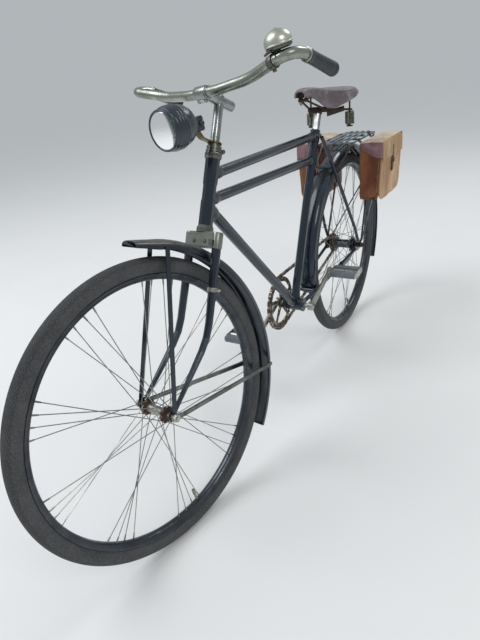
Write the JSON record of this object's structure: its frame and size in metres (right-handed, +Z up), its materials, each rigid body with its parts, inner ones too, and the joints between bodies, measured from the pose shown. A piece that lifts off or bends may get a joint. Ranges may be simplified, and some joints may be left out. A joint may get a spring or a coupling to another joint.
{
  "type": "bicycle",
  "caption": "Old gents' roadster bicycle in worn black enamel with a double top tube, front drum lamp, sprung leather saddle, rear rack and two leather bags.",
  "frame": {"origin": "top of the saddle, on the middle line, where the rider sits", "axes": "+X to the front of the bicycle, +Y to the rider's left, +Z up"},
  "size_m": [1.9603, 0.5357, 1.1061],
  "materials": {
    "black_enamel": "worn gloss",
    "dull_nickel": "dull plated",
    "worn_chrome": "worn, slightly pitted",
    "pale_steel": "dull, stained",
    "rusty_steel": "rusted, matte",
    "dark_steel": "tarnished, rust at the edges",
    "brass": "tarnished",
    "bell_metal": "faded satin",
    "rack_paint": "faded satin",
    "tyre_rubber": "dusty matte",
    "black_rubber": "matte",
    "grey_rubber": "worn matte",
    "saddle_leather": "worn",
    "bag_leather": "worn, creased",
    "lid_leather": "faded",
    "lamp_glass": "clear"
  },
  "bodies": {
    "frame": {"head_tube": "black_enamel", "headset_cups": "dull_nickel", "top_tube_upper": "black_enamel", "top_tube_lower": "black_enamel", "down_tube": "black_enamel", "seat_tube": "black_enamel", "bottom_bracket_shell": "black_enamel", "chain_stays": "black_enamel", "seat_stays": "black_enamel", "rear_axle": "rusty_steel", "brake_arm": "black_enamel", "rear_mudguard": "black_enamel", "rear_mudguard_stays": "black_enamel", "rear_rack": "rack_paint", "rack_legs": "rack_paint", "chain": "rusty_steel", "seat_post": "worn_chrome", "saddle_leather": "saddle_leather", "saddle_frame": "rusty_steel", "saddle_springs": "rusty_steel", "bag_left": "bag_leather", "bag_right": "bag_leather"},
    "steering": {"fork_crown": "dull_nickel", "fork_blades": "black_enamel", "fork_band": "worn_chrome", "front_axle": "rusty_steel", "front_mudguard": "black_enamel", "front_mudguard_stays": "black_enamel", "head_clamp": "dull_nickel", "stem": "worn_chrome", "handlebar": "worn_chrome", "grips": "black_rubber", "bell": "bell_metal", "lamp_bracket": "brass", "lamp_body": "black_enamel", "lamp_lens": "lamp_glass"},
    "front_wheel": {"front_tyre": "tyre_rubber", "front_rim": "dark_steel", "front_spokes": "dark_steel", "front_hub": "rusty_steel"},
    "rear_wheel": {"rear_tyre": "tyre_rubber", "rear_rim": "dark_steel", "rear_spokes": "dark_steel", "rear_hub": "dark_steel"},
    "sprocket": {"rear_sprocket": "rusty_steel"},
    "cranks": {"chainring": "rusty_steel", "crank_left": "pale_steel", "crank_right": "pale_steel"},
    "pedal_left": {"pedal_left": "pale_steel", "pedal_rubbers_left": "grey_rubber"},
    "pedal_right": {"pedal_right": "pale_steel", "pedal_rubbers_right": "grey_rubber"},
    "lid_left": {"bag_lid_left": "lid_leather"},
    "lid_right": {"bag_lid_right": "lid_leather"}
  },
  "joints": [
    {"name": "steering_turn", "type": "hinge", "parent": "frame", "child": "steering", "pos_m": [0.69077, 0, -0.18498], "axis": [-0.4226, 0, 0.9063], "range_deg": [-57.3, 82.7]},
    {"name": "front_wheel_spin", "type": "hinge", "parent": "steering", "child": "front_wheel", "pos_m": [0.97812, -0.01891, -0.60268], "axis": [0.1992, 0.9755, 0.0929], "continuous": true},
    {"name": "rear_wheel_spin", "type": "hinge", "parent": "frame", "child": "rear_wheel", "pos_m": [-0.23998, 0, -0.60179], "axis": [0, 1, 0], "continuous": true},
    {"name": "sprocket_spin", "type": "hinge", "parent": "frame", "child": "sprocket", "pos_m": [-0.23998, -0.05, -0.60179], "axis": [0, 1, 0], "continuous": true},
    {"name": "cranks_spin", "type": "hinge", "parent": "frame", "child": "cranks", "pos_m": [0.25802, 0, -0.65079], "axis": [0, 1, 0], "continuous": true},
    {"name": "pedal_left_spin", "type": "hinge", "parent": "cranks", "child": "pedal_left", "pos_m": [0.10576, 0.07, -0.57979], "axis": [0, 1, 0], "continuous": true},
    {"name": "pedal_right_spin", "type": "hinge", "parent": "cranks", "child": "pedal_right", "pos_m": [0.41028, -0.07, -0.72179], "axis": [0, 1, 0], "continuous": true},
    {"name": "lid_left_lift", "type": "hinge", "parent": "frame", "child": "lid_left", "pos_m": [-0.32098, 0.078, -0.20454], "axis": [1, 0, 0], "range_deg": [0, 100]},
    {"name": "lid_right_lift", "type": "hinge", "parent": "frame", "child": "lid_right", "pos_m": [-0.32098, -0.078, -0.20454], "axis": [-1, 0, 0], "range_deg": [0, 100]}
  ],
  "couplings": [
    {"joint": "sprocket_spin", "follows": "cranks_spin", "ratio": 2.5556}
  ]
}
